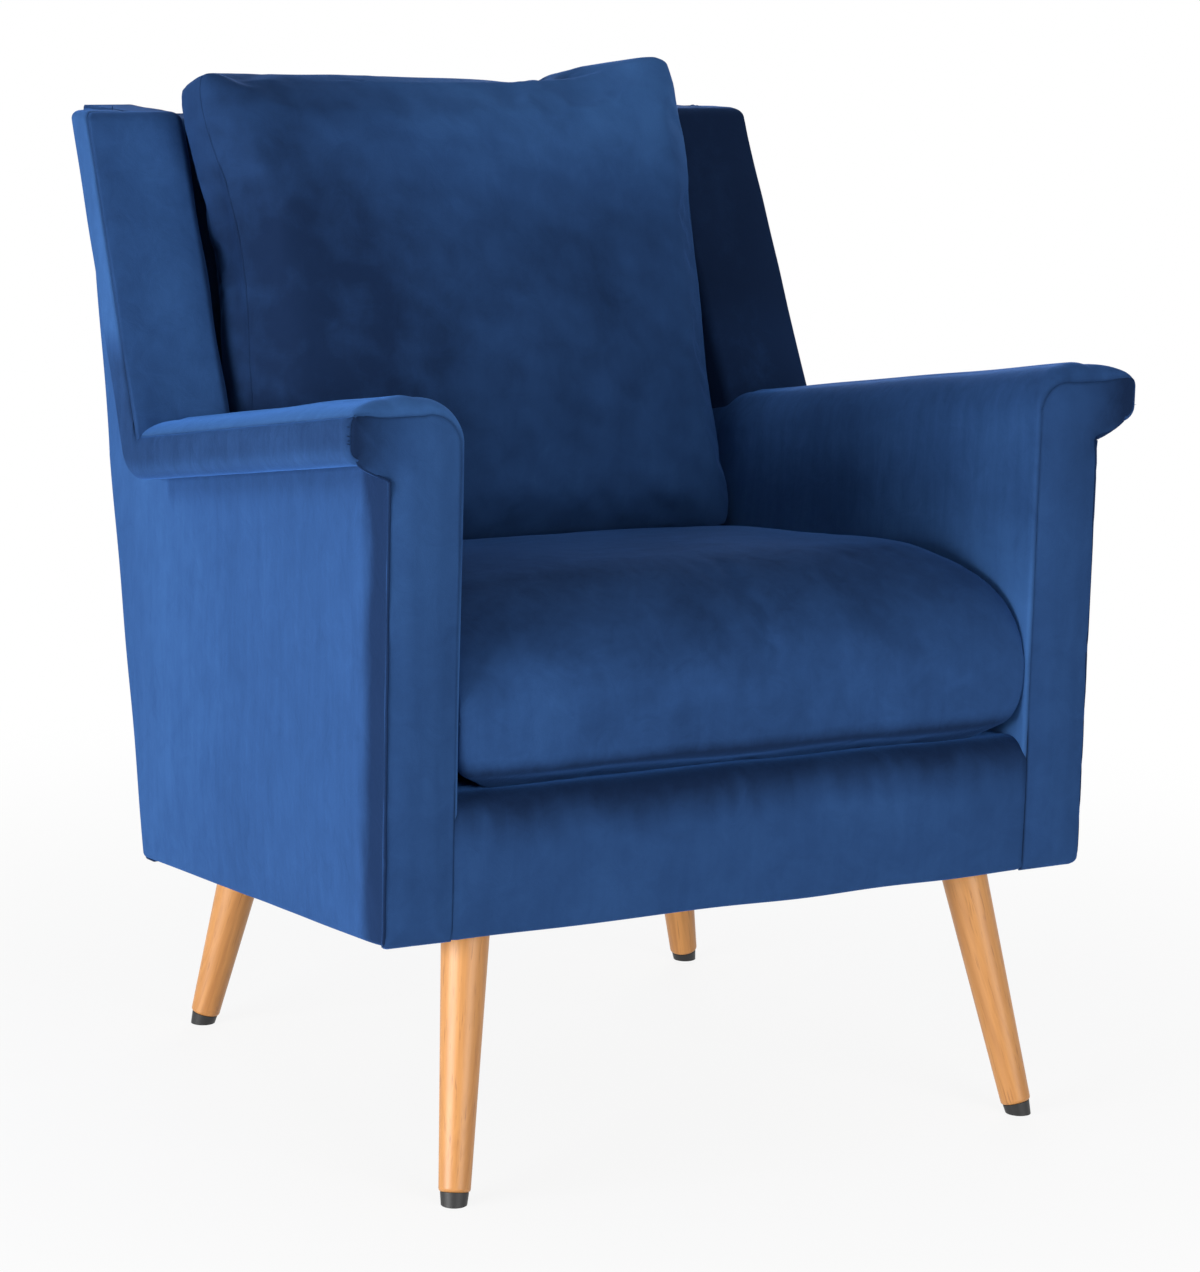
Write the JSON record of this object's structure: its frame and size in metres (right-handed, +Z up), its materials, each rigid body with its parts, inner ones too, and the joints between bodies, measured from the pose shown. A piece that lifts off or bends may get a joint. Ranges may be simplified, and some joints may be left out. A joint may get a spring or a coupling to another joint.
{
  "type": "upholstered armchair",
  "caption": "Low velvet armchair with winged back, overhanging flat arm tops, loose boxed seat and back cushions, and splayed turned wooden legs.",
  "frame": {"origin": "centre of the footprint on the floor, under the glides", "axes": "the chair faces -Y, +X is on the right seen from the front, +Z is up"},
  "size_m": [0.73, 0.7425, 0.8537],
  "materials": {
    "velvet": "short-pile velvet, brushed nap, soft sheen",
    "padding": "foam and wadding",
    "cushion_filling": "foam with a fibre wrap",
    "fibreboard": "hardboard",
    "frame_timber": "sawn hardwood",
    "webbing": "woven elastic webbing",
    "leg_wood": "turned hardwood, clear satin lacquer",
    "glide_plastic": "moulded black plastic",
    "hardware_steel": "zinc plated",
    "dust_cloth": "black non-woven cloth"
  },
  "bodies": {
    "body": {"back_board": "fibreboard", "back_lower_rail": "frame_timber", "back_pad": "padding", "back_top_rail": "frame_timber", "back_webbing": "webbing", "deck_cover": "velvet", "deck_pad": "padding", "dust_cover": "dust_cloth", "front_rail_cover": "velvet", "front_rail_pad": "padding", "front_seat_rail": "frame_timber", "hanger_bolts": "hardware_steel", "inside_back_cover": "velvet", "left_arm_front_panel": "velvet", "left_arm_front_post": "frame_timber", "left_arm_pad": "padding", "left_arm_top_rail": "frame_timber", "left_back_post": "frame_timber", "left_border_band": "velvet", "left_flange_board": "fibreboard", "left_front_foot_glide": "glide_plastic", "left_front_leg": "leg_wood", "left_inside_arm_cover": "velvet", "left_outside_cover": "velvet", "left_rear_foot_glide": "glide_plastic", "left_rear_leg": "leg_wood", "left_seat_rail": "frame_timber", "left_side_board": "fibreboard", "left_wing_cover": "velvet", "left_wing_pad": "padding", "leg_plates": "hardware_steel", "outside_back_cover": "velvet", "plate_screws": "hardware_steel", "rear_seat_rail": "frame_timber", "right_arm_front_panel": "velvet", "right_arm_front_post": "frame_timber", "right_arm_pad": "padding", "right_arm_top_rail": "frame_timber", "right_back_post": "frame_timber", "right_border_band": "velvet", "right_flange_board": "fibreboard", "right_front_foot_glide": "glide_plastic", "right_front_leg": "leg_wood", "right_inside_arm_cover": "velvet", "right_outside_cover": "velvet", "right_rear_foot_glide": "glide_plastic", "right_rear_leg": "leg_wood", "right_seat_rail": "frame_timber", "right_side_board": "fibreboard", "right_wing_cover": "velvet", "right_wing_pad": "padding", "seat_corner_blocks": "frame_timber", "seat_cross_webbing": "webbing", "seat_webbing": "webbing"},
    "seat_cushion": {"seat_cushion_core": "cushion_filling", "seat_cushion_cover": "velvet"},
    "back_cushion": {"back_cushion_core": "cushion_filling", "back_cushion_cover": "velvet"}
  },
  "joints": [
    {"name": "seat_cushion_slide", "type": "slide", "parent": "body", "child": "seat_cushion", "axis": [0, -0.9943, 0.1063], "range_m": [0, 0.55]},
    {"name": "back_cushion_lift", "type": "slide", "parent": "body", "child": "back_cushion", "axis": [0, -0.342, 0.9397], "range_m": [0, 0.45]}
  ]
}
